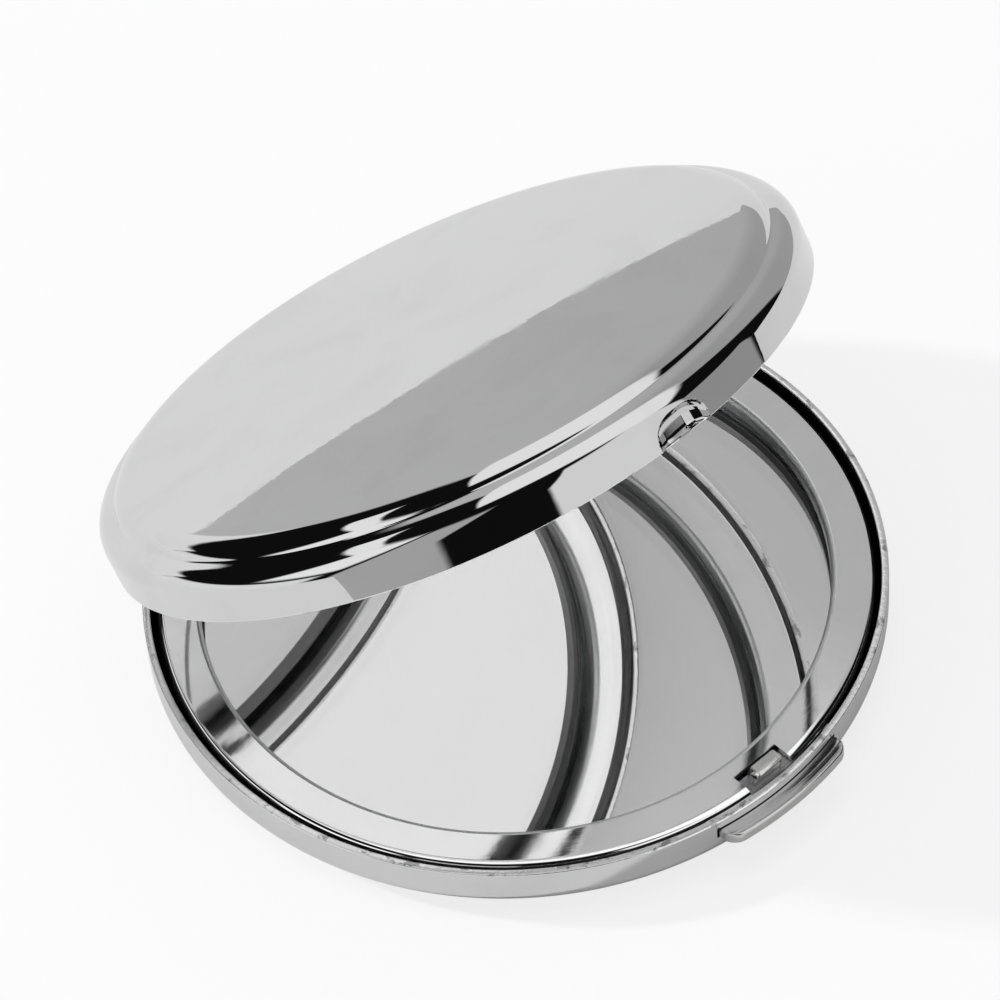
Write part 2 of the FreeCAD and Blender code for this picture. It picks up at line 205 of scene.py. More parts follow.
def shell_outline(dome_slope, wall_depths):
    """Stations of a shell's outside, from the wall near the rim to the axis."""
    stations = [(CASE_RADIUS, d, math.pi / 2) for d in wall_depths]
    stations += bend(stations[-1], SHOULDER_RADIUS, SHOULDER_SLOPE, 22, True)
    r, depth, slope = stations[-1]
    for part in (1 / 3, 2 / 3, 1):
        run = SHELF_LENGTH * part
        stations.append((r - run * math.cos(slope), depth + run * math.sin(slope), slope))
    stations += bend(stations[-1], CREASE_RADIUS, STEP_SLOPE, 10, False)
    stations += bend(stations[-1], STEP_RADIUS, STEP_END_SLOPE, 16, True)
    stations += bend(stations[-1], CROWN_RADIUS, dome_slope, 14, True)
    r, depth, slope = stations[-1]
    if dome_slope > 0:
        stations += bend(stations[-1], r / math.sin(slope), 0.0, 24, True)
    else:
        stations += [(r * (1 - k / 12), depth, 0.0) for k in range(1, 13)]
    return stations


def arc_points(centre_r, centre_d, radius, start, stop, steps):
    """Points (radius, depth) on a quarter round or the like, angles from outwards towards the rim."""
    return [(centre_r + radius * math.cos(a), centre_d - radius * math.sin(a))
            for a in np.linspace(start, stop, steps + 1)]


def revolve(half, loop, angles, closed, warp=None):
    """Turns points (radius, depth) about the case's axis at angles from the front. Gives points and faces."""
    angles = np.asarray(angles)
    r = np.array([p[0] for p in loop])[None, :] * np.ones((len(angles), 1))
    depth = np.array([p[1] for p in loop])[None, :] * np.ones((len(angles), 1))
    a = angles[:, None] * np.ones((1, len(loop)))
    if warp:
        r = r - warp(a, r, depth)
    points = np.stack([r * np.sin(a), -r * np.cos(a), height(half, depth)], 2).reshape(-1, 3)
    rows = len(loop)
    spans = rows if closed else rows - 1
    faces = []
    for i in range(len(angles)):
        j = (i + 1) % len(angles)
        for k in range(spans):
            m = (k + 1) % rows
            faces.append((i * rows + k, j * rows + k, j * rows + m, i * rows + m))
    return points, faces


def piece(name, points, faces, materials, face_material=None):
    """A mesh object from points in millimetres, with the case shut."""
    mesh = bpy.data.meshes.new(name)
    mesh.from_pydata([tuple(p) for p in np.asarray(points) * MM], [], faces)
    for material in materials:
        mesh.materials.append(material)
    if face_material is not None:
        mesh.polygons.foreach_set("material_index", np.asarray(face_material, np.int32))
    bm = bmesh.new()
    bm.from_mesh(mesh)
    bmesh.ops.remove_doubles(bm, verts=bm.verts, dist=1e-8)
    bmesh.ops.recalc_face_normals(bm, faces=bm.faces)
    bm.to_mesh(mesh)
    bm.free()
    obj = bpy.data.objects.new(name, mesh)
    bpy.context.scene.collection.objects.link(obj)
    return obj


def joined(parts):
    """Points and faces of several bodies as one."""
    points, faces = [], []
    for part_points, part_faces in parts:
        start = len(points)
        points += [tuple(p) for p in part_points]
        faces += [tuple(start + i for i in f) for f in part_faces]
    return points, faces


def slab(plan, low, high):
    """An upright block over a plan of (x, y) points."""
    n = len(plan)
    points = [(x, y, low) for x, y in plan] + [(x, y, high) for x, y in plan]
    faces = [tuple(range(n))[::-1], tuple(range(n, 2 * n))]
    faces += [(i, (i + 1) % n, n + (i + 1) % n, n + i) for i in range(n)]
    return points, faces


def brick(x0, x1, y0, y1, z0, z1):
    """A block with its sides along the axes."""
    return slab([(x0, y0), (x1, y0), (x1, y1), (x0, y1)], z0, z1)


def upright_bar(half, x, y, radius, top, bottom, steps=32):
    """An upright cylinder between two depths of a half."""
    turn = np.linspace(0, 2 * math.pi, steps, endpoint=False)
    return slab([(x + radius * math.cos(a), y + radius * math.sin(a)) for a in turn],
                *sorted((height(half, top), height(half, bottom))))


def front_sector(half, inner, outer, middle, spread, top, bottom):
    """A block between two radii at the front, spread to both sides of an angle, between two depths of a half."""
    turn = np.linspace(middle - spread, middle + spread, 24)
    plan = [(outer * math.sin(a), -outer * math.cos(a)) for a in turn]
    plan += [(inner * math.sin(a), -inner * math.cos(a)) for a in turn[::-1]]
    return slab(plan, *sorted((height(half, top), height(half, bottom))))


def bar(x0, x1, radius, edge, y, z, steps=64):
    """A cylinder along X with rounded ends."""
    loop = [(x0, 0.0)]
    quarter = np.linspace(0, math.pi / 2, 5)
    loop += [(x0 + edge * (1 - math.cos(a)), radius - edge * (1 - math.sin(a))) for a in quarter]
    loop += [(x1 - edge * (1 - math.cos(a)), radius - edge * (1 - math.sin(a))) for a in quarter[::-1]]
    loop += [(x1, 0.0)]
    points, faces = [], []
    rows = len(loop)
    for i in range(steps):
        a = 2 * math.pi * i / steps
        points += [(x, y + r * math.cos(a), z + r * math.sin(a)) for x, r in loop]
        j = (i + 1) % steps
        faces += [(i * rows + k, j * rows + k, j * rows + k + 1, i * rows + k + 1) for k in range(rows - 1)]
    return points, faces


def cut(obj, cutters, overlapping=False):
    """Takes blocks, given as points and faces, out of a piece, whose own bodies may overlap."""
    tools = []
    for points, faces in cutters:
        tool = piece("cutter", points, faces, [])
        tools.append(tool)
        modifier = obj.modifiers.new("cut", "BOOLEAN")
        modifier.operation = "DIFFERENCE"
        modifier.solver = "EXACT"
        modifier.use_self = overlapping
        modifier.object = tool
    depsgraph = bpy.context.evaluated_depsgraph_get()
    mesh = bpy.data.meshes.new_from_object(obj.evaluated_get(depsgraph))
    obj.modifiers.clear()
    obj.data = mesh
    for tool in tools:
        bpy.data.objects.remove(tool)


def round_edges(obj, width, segments, angle=math.radians(30)):
    """Rounds the sharp edges of a piece."""
    bm = bmesh.new()
    bm.from_mesh(obj.data)
    sharp = [e for e in bm.edges if e.is_manifold and e.calc_face_angle() > angle]
    bmesh.ops.bevel(bm, geom=sharp, offset=width * MM, segments=segments, profile=0.5, affect="EDGES")
    bm.to_mesh(obj.data)
    bm.free()


LID_TURN = (Matrix.Translation((0, HINGE_Y * MM, HINGE_Z * MM))
            @ Matrix.Rotation(OPENING, 4, Vector((-1, 0, 0)))
            @ Matrix.Translation((0, -HINGE_Y * MM, -HINGE_Z * MM)))


def keep_places(mesh):
    """Keeps where each point is while the case is shut, which is what the finishes go by."""
    places = mesh.attributes.new("shut_place", "FLOAT_VECTOR", "POINT")
    places.data.foreach_set("vector", [value for vertex in mesh.vertices for value in vertex.co])


def place(obj, node, body, sharp=35):
    """Shades a piece, opens it with the lid where it belongs there, and stands it in for its node."""
    keep_places(obj.data)
    obj.data.polygons.foreach_set("use_smooth", [True] * len(obj.data.polygons))
    obj.data.set_sharp_from_angle(angle=math.radians(sharp))
    if body == "lid":
        obj.data.transform(LID_TURN)
    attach(obj, body)
    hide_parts(node)


# Materials

def add(tree, kind, inputs=None, **settings):
    """A node with its settings and its inputs, which are values or other nodes' outputs."""
    node = tree.nodes.new(kind)
    for name, value in settings.items():
        setattr(node, name, value)
    for key, value in (inputs or {}).items():
        if isinstance(value, bpy.types.NodeSocket):
            tree.links.new(value, node.inputs[key])
        else:
            node.inputs[key].default_value = value
    return node


def calc(tree, operation, *values):
    """One sum of values or other nodes' outputs."""
    return add(tree, "ShaderNodeMath", dict(enumerate(values)), operation=operation).outputs[0]


def fade(tree, value, start, stop, low=0.0, high=1.0):
    """Goes smoothly from low to high while a value goes from start to stop."""
    ends = {"From Min": start, "From Max": stop, "To Min": low, "To Max": high}
    return add(tree, "ShaderNodeMapRange", {"Value": value, **ends}, interpolation_type="SMOOTHSTEP").outputs[0]


def grade(tree, value, dark, light):
    """A grey or tinted colour between two colours."""
    mix = add(tree, "ShaderNodeMix", {"Factor": value}, data_type="RGBA")
    mix.inputs["A"].default_value = (*dark, 1)
    mix.inputs["B"].default_value = (*light, 1)
    return mix.outputs["Result"]


def effect(name, inputs, outputs):
    """An empty effect that materials share, with its input node and its output node."""
    tree = bpy.data.node_groups.new(name, "ShaderNodeTree")
    for socket, value in inputs.items():
        given = tree.interface.new_socket(name=socket, in_out="INPUT", socket_type="NodeSocketFloat")
        given.default_value = value
    for socket in outputs:
        tree.interface.new_socket(name=socket, in_out="OUTPUT", socket_type="NodeSocketFloat")
    return tree, tree.nodes.new("NodeGroupInput"), tree.nodes.new("NodeGroupOutput")


def shut_place(tree):
    """Where a point is while the case is shut, in metres."""
    return add(tree, "ShaderNodeAttribute", attribute_name="shut_place").outputs["Vector"]


def handling_effect():
    """Faint smears and specks of dust on a polished face, and the slight waviness of pressed metal."""
    sizes = {"Smear Size": 9.0, "Speck Size": 2.4}
    tree, given, result = effect("handling", sizes, ["Smear", "Speck", "Waviness"])
    spot = shut_place(tree)
    smear_scale = calc(tree, "DIVIDE", 1000.0, given.outputs["Smear Size"])
    smear = add(tree, "ShaderNodeTexNoise", {"Vector": spot, "Scale": smear_scale, "Detail": 5.0,
                                             "Roughness": 0.6, "Distortion": 0.6})
    tree.links.new(fade(tree, smear.outputs["Fac"], 0.42, 0.75), result.inputs["Smear"])
    speck_scale = calc(tree, "DIVIDE", 1000.0, given.outputs["Speck Size"])
    cells = add(tree, "ShaderNodeTexVoronoi", {"Vector": spot, "Scale": speck_scale, "Randomness": 1.0})
    chosen = add(tree, "ShaderNodeSeparateColor", {"Color": cells.outputs["Color"]}).outputs[0]
    near = fade(tree, cells.outputs["Distance"], 0.055, 0.03)
    rare = fade(tree, chosen, 0.9, 0.92)
    tree.links.new(calc(tree, "MULTIPLY", near, rare), result.inputs["Speck"])
    wave = add(tree, "ShaderNodeTexNoise", {"Vector": spot, "Scale": 260.0, "Detail": 3.0, "Roughness": 0.55})
    tree.links.new(wave.outputs["Fac"], result.inputs["Waviness"])
    return tree


def turned_effect():
    """Marks on a round piece, by two lengths in millimetres: long lines around its axis, or short cuts across, and a
    sparse spot mask that a finish uses as painted glint.
    """
    tree, given, result = effect("turned", {"Length Around": 6.0, "Length Across": 0.12}, ["Line", "Painted Glint"])
    spot = add(tree, "ShaderNodeSeparateXYZ", {0: shut_place(tree)})
    x, y, z = (calc(tree, "MULTIPLY", spot.outputs[i], 1000.0) for i in range(3))
    turn = calc(tree, "ARCTAN2", x, calc(tree, "MULTIPLY", y, -1.0))
    radius = calc(tree, "SQRT", calc(tree, "ADD", calc(tree, "MULTIPLY", x, x), calc(tree, "MULTIPLY", y, y)))
    along = calc(tree, "DIVIDE", calc(tree, "MULTIPLY", turn, 30.0), given.outputs["Length Around"])
    across = calc(tree, "DIVIDE", radius, given.outputs["Length Across"])
    down = calc(tree, "DIVIDE", z, given.outputs["Length Across"])
    lined = add(tree, "ShaderNodeCombineXYZ", {0: along, 1: across, 2: down}).outputs[0]
    line = add(tree, "ShaderNodeTexNoise", {"Vector": lined, "Scale": 1.0, "Detail": 4.0,
                                            "Roughness": 0.65, "Distortion": 0.4})
    tree.links.new(line.outputs["Fac"], result.inputs["Line"])
    # Sparse spots: a mask for painted glint, colour that stands in for the sparkle of light off a cut edge.
    coarse = add(tree, "ShaderNodeTexNoise", {"Vector": lined, "Scale": 0.31, "Detail": 3.0, "Roughness": 0.6})
    tree.links.new(fade(tree, coarse.outputs["Fac"], 0.56, 0.66), result.inputs["Painted Glint"])
    return tree


def grain_effect():
    """Grain of a cast, cut or fibrous face: pits of one size, with finer ones on them."""
    tree, given, result = effect("grain", {"Grain Size": 0.3, "Stretch": 1.0}, ["Grain", "Pit"])
    spot = shut_place(tree)
    shorter = calc(tree, "DIVIDE", 1.0, given.outputs["Stretch"])
    drawn = add(tree, "ShaderNodeCombineXYZ", {0: shorter, 1: 1.0, 2: 1.0}).outputs[0]
    spot = add(tree, "ShaderNodeVectorMath", {0: spot, 1: drawn}, operation="MULTIPLY").outputs[0]
    scale = calc(tree, "DIVIDE", 1000.0, given.outputs["Grain Size"])
    noise = add(tree, "ShaderNodeTexNoise", {"Vector": spot, "Scale": scale, "Detail": 5.0, "Roughness": 0.6})
    tree.links.new(noise.outputs["Fac"], result.inputs["Grain"])
    pits = add(tree, "ShaderNodeTexVoronoi", {"Vector": spot, "Scale": scale}, feature="SMOOTH_F1")
    tree.links.new(pits.outputs["Distance"], result.inputs["Pit"])
    return tree


handling = handling_effect()
turned = turned_effect()
grain = grain_effect()


def use(tree, group, **values):
    """Places a shared effect in a material with the material's own values."""
    node = add(tree, "ShaderNodeGroup", node_tree=group)
    for name, value in values.items():
        node.inputs[name.replace("_", " ")].default_value = value
    return node.outputs


def finish(name, colour, roughness, bumps, metallic=1.0, **sockets):
    """A material with a varying colour and roughness, and bumps given as heights with their depths in millimetres."""
    made = bpy.data.materials.new(name)
    made.use_nodes = True
    tree = made.node_tree
    shader = tree.nodes["Principled BSDF"]
    shader.inputs["Metallic"].default_value = metallic
    for socket, value in sockets.items():
        shader.inputs[socket.replace("_", " ")].default_value = value
    tree.links.new(colour(tree), shader.inputs["Base Color"])
    if roughness:
        tree.links.new(roughness(tree), shader.inputs["Roughness"])
    normal = None
    for height_of, depth in bumps:
        values = {"Height": height_of(tree), "Distance": depth * MM, "Strength": 1.0}
        if normal:
            values["Normal"] = normal
        normal = add(tree, "ShaderNodeBump", values).outputs["Normal"]
    if normal:
        tree.links.new(normal, shader.inputs["Normal"])
    return made


def smears(output, **sizes):
    """What handling leaves on a face, for a finish."""
    return lambda tree: use(tree, handling, **sizes)[output]


def marks(around, across, output="Line"):
    """Turned lines or cuts, by their lengths in millimetres, for a finish."""
    return lambda tree: use(tree, turned, Length_Around=around, Length_Across=across)[output]


def grains(size, stretch=1.0, output="Grain"):
    """Grain or pits of a size in millimetres, for a finish."""
    return lambda tree: use(tree, grain, Grain_Size=size, Stretch=stretch)[output]


def tint(mask, dark, light):
    """A colour between two colours, by a mask."""
    return lambda tree: grade(tree, mask(tree), dark, light)


def ranged(mask, low, high, start=0.3, stop=0.7):
    """A value from low to high, by a mask that goes from start to stop."""
    return lambda tree: fade(tree, mask(tree), start, stop, low, high)


def grey(value):
    return (value, value, value)


def polished(name, colour, gloss, waviness, lines=0.0):
    """Bright plated metal: smears, a little waviness, and fine lines from spin polishing."""
    light = tuple(c * 1.02 for c in colour)
    dusty = tuple(c * 0.96 for c in colour)
    bumps = [(smears("Waviness"), waviness)]
    if lines:
        bumps.append((marks(14.0, 0.10), lines))
    return finish(name, tint(smears("Smear"), light, dusty),
                  ranged(smears("Smear", Smear_Size=7.0), gloss, gloss * 2.2, 0.0, 1.0), bumps)


case_chrome = polished("case_chrome", (0.655, 0.655, 0.66), 0.018, 0.004)
frame_chrome = polished("frame_chrome", grey(0.905), 0.03, 0.003, 0.0006)
hinge_chrome = polished("hinge_chrome", (0.62, 0.62, 0.625), 0.07, 0.004, 0.001)
tab_nickel = polished("tab_nickel", (0.60, 0.60, 0.595), 0.16, 0.006, 0.0015)

formed_chrome = finish("formed_chrome", tint(grains(0.25), (0.86, 0.87, 0.875), (0.93, 0.94, 0.945)),
                       ranged(grains(0.5), 0.30, 0.46), [(grains(0.16), 0.008), (marks(8.0, 0.12), 0.004)])
# The cut rim's colour is painted glint: specks from the spot mask stand in for the sparkle of reflected light on the
# cut edge. Its roughness and bumps are the real cut marks.
rim_cut_painted_glint = finish("rim_cut_painted_glint", tint(marks(0.5, 0.4, "Painted Glint"), grey(0.86), grey(0.42)),
                 ranged(marks(0.9, 0.5), 0.05, 0.2), [(marks(0.45, 0.5), 0.016)])
# Near-black inside of the shells and undersides of the rings: painted shade, standing in for the shade inside the
# case and in the gaps beside the rings. The roughness and grain are the dull inside finish.
dull_inside_painted_shade = finish("dull_inside_painted_shade", tint(grains(1.4), grey(0.02), (0.06, 0.06, 0.062)),
                     ranged(grains(0.8), 0.35, 0.55), [(grains(0.5), 0.02)])
hook_steel = finish("hook_steel", tint(grains(0.35), (0.62, 0.62, 0.61), (0.86, 0.86, 0.85)),
                    ranged(grains(0.3), 0.1, 0.24), [(grains(0.42), 0.03), (grains(0.12, output="Pit"), 0.008)])
plain_steel = finish("plain_steel", tint(grains(0.2, 9.0), grey(0.42), grey(0.6)),
                     ranged(grains(0.25, 9.0), 0.2, 0.38), [(grains(0.1, 12.0), 0.004)])
spring_steel = finish("spring_steel", tint(grains(0.9, 3.0), (0.26, 0.26, 0.30), (0.45, 0.44, 0.43)),
                      ranged(grains(0.3, 9.0), 0.22, 0.4), [(grains(0.1, 14.0), 0.004)])
mirror_glass = finish("mirror_glass", tint(smears("Speck", Speck_Size=3.2), grey(0.99), grey(0.87)),
                      None, [], 0.0, Roughness=0.0, Transmission_Weight=1.0, IOR=1.5)
ground_edge = finish("ground_edge",
                     tint(ranged(marks(9.0, 0.3), 0.0, 1.0, 0.34, 0.6), (0.12, 0.135, 0.145), (0.80, 0.85, 0.87)),
                     ranged(marks(3.0, 0.2), 0.2, 0.5), [(marks(2.5, 0.14), 0.02)], 0.95)
silvering = finish("silvering", tint(smears("Smear", Smear_Size=16.0), grey(0.92), grey(0.905)),
                   ranged(smears("Smear", Smear_Size=16.0), 0.0, 0.004, 0.0, 1.0), [])
card = finish("card", tint(grains(0.5, 5.0), (0.40, 0.36, 0.30), (0.62, 0.57, 0.49)),
              ranged(grains(0.6), 0.85, 0.97), [(grains(0.25, 4.0), 0.03)], 0.0)
foam = finish("foam", tint(grains(0.35, output="Pit"), grey(0.03), (0.16, 0.16, 0.165)),
              ranged(grains(0.6), 0.85, 0.98), [(grains(0.3, output="Pit"), 0.1)], 0.0)
pale_paper = finish("pale_paper", tint(grains(0.4), grey(0.90), grey(0.93)),
                    ranged(grains(0.5), 0.9, 1.0), [], 0.0, Specular_IOR_Level=0.0)


# Shells

def scoop(angle, radius, depth):
    """How far the lid wall is pressed in: a hollow with a round top, whose floor turns a little to the right.
    Its back is shallower near the rim, which leaves room for the hook."""
    along = (angle + math.pi) % (2 * math.pi) - math.pi - SCOOP_CENTRE
    t = np.clip(along * CASE_RADIUS / SCOOP_HALF, -1.0, 1.0)
    top = SCOOP_HEIGHT * (1 - np.abs(t) ** SCOOP_ROUNDNESS) ** (1 / SCOOP_ROUNDNESS)
    share = depth / np.maximum(top, 0.02)
    rise = np.interp(share, [0.0, 0.06, 0.14, 0.2, 0.5, 0.72, 0.9, 0.98, 1.0],
                     [0.25, 0.6, 0.85, 0.92, 1.0, 0.85, 0.5, 0.15, 0.0])
    across = np.interp(t, [-1.0, -0.94, -0.8, -0.6, 0.3, 0.6, 0.85, 1.0],
                       [0.0, 0.22, 0.56, 0.7, 1.0, 0.92, 0.5, 0.0])
    pressed = np.where(share < 1, SCOOP_DEPTH * rise * across, 0.0)
    inner = np.minimum(pressed, np.maximum(0.0, SCOOP_INNER_RIM + SCOOP_INNER_LEAN * depth))
    return np.where(radius < CASE_RADIUS - WALL / 2, inner, pressed)


def shell(name, half, dome_slope, wall_depths, angles, warp=None):
    """A pressed shell, plated outside, freshly cut on the rim with painted glint there, and dull inside with a
    near-black colour that is painted shade.
    """
    outside = shell_outline(dome_slope, wall_depths)
    inside = [(r - WALL * math.sin(s), d - WALL * math.cos(s)) for r, d, s in outside[:-1:3] + outside[-1:]]
    rim = arc_points(CASE_RADIUS - RIM_ROUND, RIM_ROUND, RIM_ROUND, RIM_ROUND_START, math.pi / 2, 4)
    rim += [(CASE_RADIUS - WALL / 2, 0.0)]
    rim += arc_points(INNER_RADIUS + RIM_ROUND, RIM_ROUND, RIM_ROUND, math.pi / 2, math.pi - RIM_ROUND_START, 4)
    loop = [(r, d) for r, d, s in reversed(outside)] + rim + inside
    points, faces = revolve(half, loop, angles, False, warp)
    rows = [0] * (len(outside) - 1) + [1] * (len(rim) + 1) + [2] * (len(inside) - 1)
    return piece(name, points, faces, [case_chrome, rim_cut_painted_glint, dull_inside_painted_shade], rows * len(angles))


def circle_angles(step, fine_step=None, fine_from=0.0, fine_to=0.0):
    """Angles around the case in degrees, closer together in one stretch, as radians."""
    if fine_step is None:
        return np.radians(np.arange(0, 360, step))
    fine = np.arange(fine_from, fine_to, fine_step)
    rest = np.linspace(fine_to, fine_from + 360, round((fine_from + 360 - fine_to) / step) + 1)[:-1]
    return np.radians(np.concatenate([fine, rest]))


# Depths of the rows in the lid's wall, closer together towards the top of the scoop
lid_wall = np.concatenate([np.linspace(RIM_ROUND, 1.5, 24), np.linspace(1.53, 2.68, 48), [WALL_HEIGHT]])
lid_shell = shell("lid_case", LID, LID_DOME_SLOPE, lid_wall, circle_angles(1.2, 0.1, -6, 8), scoop)
place(lid_shell, "lid_shell", "lid")

base_wall = np.linspace(RIM_ROUND, WALL_HEIGHT, 14)
base_shell = shell("base_case", BASE, 0.0, base_wall, circle_angles(0.75))
slot_hole = brick(-SLOT_HALF, SLOT_HALF, -CASE_RADIUS - 2, -WINDOW_INNER,
                  height(BASE, SLOT_BOTTOM), height(BASE, SLOT_TOP))
cut(base_shell, [slot_hole])
place(base_shell, "base_shell", "base")


# Frame rings, mirrors and what is behind them

def frame_loop(outer, edge):
    """A ring's section as points (radius, depth), and the finish of each span: 0 face, 1 underside, 2 lip."""
    edge_r = outer - edge
    skirt_r = outer - FRAME_SKIN
    lip = [(FRAME_INNER, MIRROR_FRONT)]
    lip += arc_points(FRAME_INNER + FRAME_LIP, FRAME_TOP + FRAME_LIP, FRAME_LIP, math.pi, math.pi / 2, 12)
    face = [(FRAME_INNER + FRAME_LIP + FLAT_MARGIN, FRAME_TOP), (edge_r - FLAT_MARGIN, FRAME_TOP)]
    face += arc_points(edge_r, FRAME_TOP + edge, edge, math.pi / 2, 0, 14)
    under = [(outer, SKIRT_OUTSIDE), (skirt_r, SKIRT_INSIDE), (skirt_r, FRAME_UNDER + FRAME_FILLET),
             (skirt_r - FRAME_FILLET, FRAME_UNDER), (FRAME_INNER + FRAME_SKIN, FRAME_UNDER)]
    lip_back = [(FRAME_INNER + FRAME_SKIN, MIRROR_FRONT)]
    spans = [2] * (len(lip) - 1) + [0] * (len(face) + 1) + [1] * (len(under) - 1) + [2] * 2
    return lip + face + under + lip_back, spans


def rivet_cuts(half, top, bottom):
    """Two upright bars where the rivets of a half go through, between two depths."""
    return [upright_bar(half, x, RIVET_Y, RIVET_HOLE, top, bottom) for x in (-RIVET_X, RIVET_X)]


def ring(name, half, outer, edge, extra_cut):
    """A frame ring with the catch window at the front, room for the hinge leaf, and rivet holes."""
    loop, spans = frame_loop(outer, edge)
    angles = circle_angles(0.75)
    points, faces = revolve(half, loop, angles, True)
    obj = piece(name, points, faces, [frame_chrome, dull_inside_painted_shade, formed_chrome], spans * len(angles))
    whole = sorted((height(half, CUT_FROM), height(half, CUT_TO)))
    skirt = sorted((height(half, FRAME_UNDER), height(half, CUT_TO)))
    leaf_half = LEAF_WIDTH / 2 + LEAF_ROOM
    window = brick(-WINDOW_WIDTH / 2, WINDOW_WIDTH / 2, -CASE_RADIUS, -WINDOW_INNER, *whole)
    back = brick(-leaf_half, leaf_half, MIRROR_RADIUS, CASE_RADIUS, *skirt)
    cut(obj, [window, back] + rivet_cuts(half, CUT_FROM, FRAME_UNDER + 0.1) + [extra_cut])
    return obj


base_front = brick(-PLATE_ROOM_HALF, PLATE_ROOM_HALF, -CASE_RADIUS, -MIRROR_RADIUS,
                   height(BASE, CUT_TO), height(BASE, FRAME_UNDER))
base_frame = ring("base_frame_ring", BASE, BASE_FRAME_OUTER, BASE_FRAME_EDGE, base_front)
place(base_frame, "base_frame", "base")

behind_scoop = front_sector(LID, SCOOP_RELIEF, CASE_RADIUS + 1, SCOOP_CENTRE, SCOOP_RELIEF_SPREAD, CUT_FROM, CUT_TO)
lid_frame = ring("lid_frame_ring", LID, LID_FRAME_OUTER, LID_FRAME_EDGE, behind_scoop)
place(lid_frame, "lid_frame", "lid")


def disc(name, half, radius, top, back, edge, materials):
    """A flat round plate with a rounded edge. Its materials are for the face, the edge and the back."""
    face = [(0.0, top), (radius * 0.5, top)]
    side = arc_points(radius - edge, top + edge, edge, math.pi / 2, 0, 3)
    side += arc_points(radius - edge, back - edge, edge, 0, -math.pi / 2, 3)
    behind = [(radius * 0.5, back), (0.0, back)]
    angles = circle_angles(1.0)
    points, faces = revolve(half, face + side + behind, angles, False)
    rows = [0] * len(face) + [1] * (len(side) - 1) + [2] * len(behind)
    return piece(name, points, faces, materials, rows * len(angles))


def foam_pad(name, half, dome_slope):
    """A soft disc squeezed between the card and the shell, with a rounded edge."""
    outside = shell_outline(dome_slope, [WALL_HEIGHT])
    inside = sorted((r - WALL * math.sin(a), d - WALL * math.cos(a)) for r, d, a in outside)
    inside_r, inside_d = zip(*inside)
    front = CARD_BACK + PAD_TO_CARD
    edge_back = np.interp(PAD_RADIUS, inside_r, inside_d) - PAD_TO_SHELL
    edge = (edge_back - front) / 2
    loop = [(r, front) for r in np.linspace(0.0, PAD_RADIUS - edge, 28)]
    loop += arc_points(PAD_RADIUS - edge, front + edge, edge, math.pi / 2, -math.pi / 2, 12)[1:-1]
    for r in np.linspace(PAD_RADIUS - edge, 0.0, 28):
        squeezed = PAD_RIPPLE * (1 + math.sin(r * PAD_RIPPLES_PER_MM))
        loop.append((r, np.interp(r, inside_r, inside_d) - PAD_TO_SHELL - squeezed))
    points, faces = revolve(half, loop, circle_angles(2.0), False)
    return piece(name, points, faces, [foam])


for half, dome_slope in ((BASE, 0.0), (LID, LID_DOME_SLOPE)):
    body = half[2]
    pad = foam_pad(body + "_pad", half, dome_slope)
    place(pad, body + "_foam_pad", body, 60)
    place(disc(body + "_mirror_glass", half, MIRROR_RADIUS, MIRROR_FRONT, MIRROR_BACK, MIRROR_EDGE,
               [mirror_glass, ground_edge, silvering]),
          body + "_mirror", body, 5)


# Thumb tab and hook

def tab_section():
    """The tab along a radius, as (radius, depth): flat plate, a swept-up top and a rounded lip."""
    section = [(TAB_NECK, PLATE_TOP)]
    for t in np.linspace(0, 1, 13):
        section.append((TAB_SWEEP_START + TAB_SWEEP_RUN * t, PLATE_TOP - TAB_SWEEP * t ** TAB_SWEEP_POWER))
    section += arc_points(TAB_OUTER - TAB_UPPER_ROUND, PLATE_TOP - TAB_SWEEP + TAB_LIP_DROP, TAB_UPPER_ROUND,
                          math.pi * 0.6, 0, 7)
    section += arc_points(TAB_OUTER - TAB_LOWER_ROUND, PLATE_BOTTOM - TAB_LOWER_ROUND, TAB_LOWER_ROUND,
                          0, -math.pi / 2, 6)
    section += [(TAB_HEEL, PLATE_BOTTOM), (TAB_ROOT, PLATE_BOTTOM), (TAB_ROOT, PLATE_TOP)]
    return section


def rounding(distance, radius):
    """How far a quarter round has fallen back, as a share of its radius, at a distance from where it starts."""
    share = max(0.0, distance) / radius
    return 1 - math.sqrt(max(0.0, 1 - share ** 2))


def tab_body():
    """The thumb tab, which follows the rim and has rounded corners. Its lip is swept up outside the slot only."""
    section = tab_section()
    rows = len(section)
    middle = (PLATE_TOP + PLATE_BOTTOM) / 2
    under_slot = SLOT_TOP + SLOT_CLEARANCE
    stations = np.concatenate([np.linspace(-TAB_HALF, -TAB_BEND, 26), np.linspace(-TAB_STRAIGHT, TAB_STRAIGHT, 45),
                               np.linspace(TAB_BEND, TAB_HALF, 26)])
    points = []
    for x in stations:
        pull = TAB_CORNER * rounding(abs(x) - (TAB_HALF - TAB_CORNER), TAB_CORNER)
        squeeze = 1 - TAB_END_SQUEEZE * rounding(abs(x) - (TAB_HALF - TAB_END_ROUND), TAB_END_ROUND)
        for r, d in section:
            share = min(1.0, max(0.0, (r - TAB_CORNER_START) / (TAB_OUTER - TAB_CORNER_START)))
            reach = r - pull * share
            depth = middle + (d - middle) * squeeze
            lift = min(1.0, max(0.0, (reach - TAB_LIP_START) / TAB_LIP_RUN))
            if depth < under_slot:
                depth += (under_slot - depth) * (1 - lift)
            points.append((x, -math.sqrt(reach ** 2 - x ** 2), height(BASE, depth)))
    faces = []
    for i in range(len(stations) - 1):
        faces += [(i * rows + k, (i + 1) * rows + k, (i + 1) * rows + (k + 1) % rows, i * rows + (k + 1) % rows)
                  for k in range(rows)]
    last = (len(stations) - 1) * rows
    faces += [tuple(range(rows)), tuple(range(last, last + rows))]
    return points, faces


